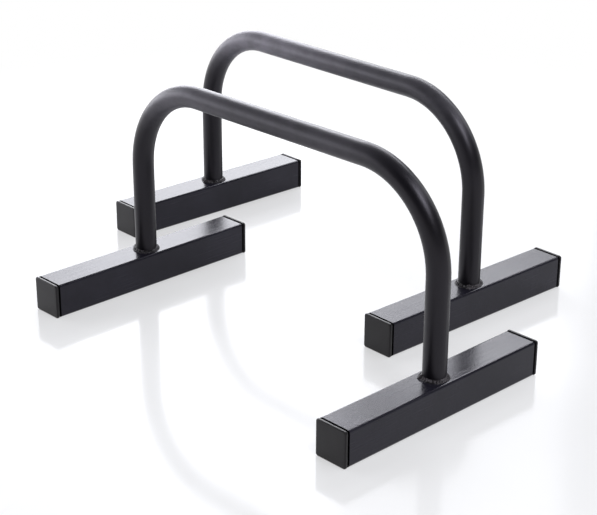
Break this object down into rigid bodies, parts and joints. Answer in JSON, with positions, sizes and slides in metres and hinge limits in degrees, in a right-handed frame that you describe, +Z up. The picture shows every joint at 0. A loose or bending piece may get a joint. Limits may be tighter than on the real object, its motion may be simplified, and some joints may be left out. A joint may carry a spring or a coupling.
{
  "type": "parallette bars",
  "caption": "Low free-standing parallette bars: bent round steel grip tubes welded on square tube feet with plastic end caps, for push-ups, holds and handstands.",
  "frame": {"origin": "on the floor, at the centre of the bounding rectangle of both bars", "axes": "+X along the front bar's grip, to the right as seen from the front bar, +Y from the front bar towards the rear bar, +Z up"},
  "size_m": [0.802, 0.64, 0.3319],
  "materials": {
    "handle_coat": "fine-textured matt powder coat, charcoal black",
    "foot_coat": "satin powder coat, charcoal black",
    "weld_coat": "powder-coated weld bead, satin",
    "cap_plastic": "moulded black polyethylene, satin"
  },
  "bodies": {
    "front_bar": {"front_handle": "handle_coat", "front_left_foot": "foot_coat", "front_right_foot": "foot_coat", "front_left_weld": "weld_coat", "front_right_weld": "weld_coat", "front_left_near_cap": "cap_plastic", "front_left_far_cap": "cap_plastic", "front_right_near_cap": "cap_plastic", "front_right_far_cap": "cap_plastic"},
    "rear_bar": {"rear_handle": "handle_coat", "rear_left_foot": "foot_coat", "rear_right_foot": "foot_coat", "rear_left_weld": "weld_coat", "rear_right_weld": "weld_coat", "rear_left_near_cap": "cap_plastic", "rear_left_far_cap": "cap_plastic", "rear_right_near_cap": "cap_plastic", "rear_right_far_cap": "cap_plastic"}
  },
  "joints": [
    {"name": "bar_spacing", "type": "slide", "parent": "front_bar", "child": "rear_bar", "axis": [0, 1, 0], "range_m": [-0.2, 0.4]}
  ]
}
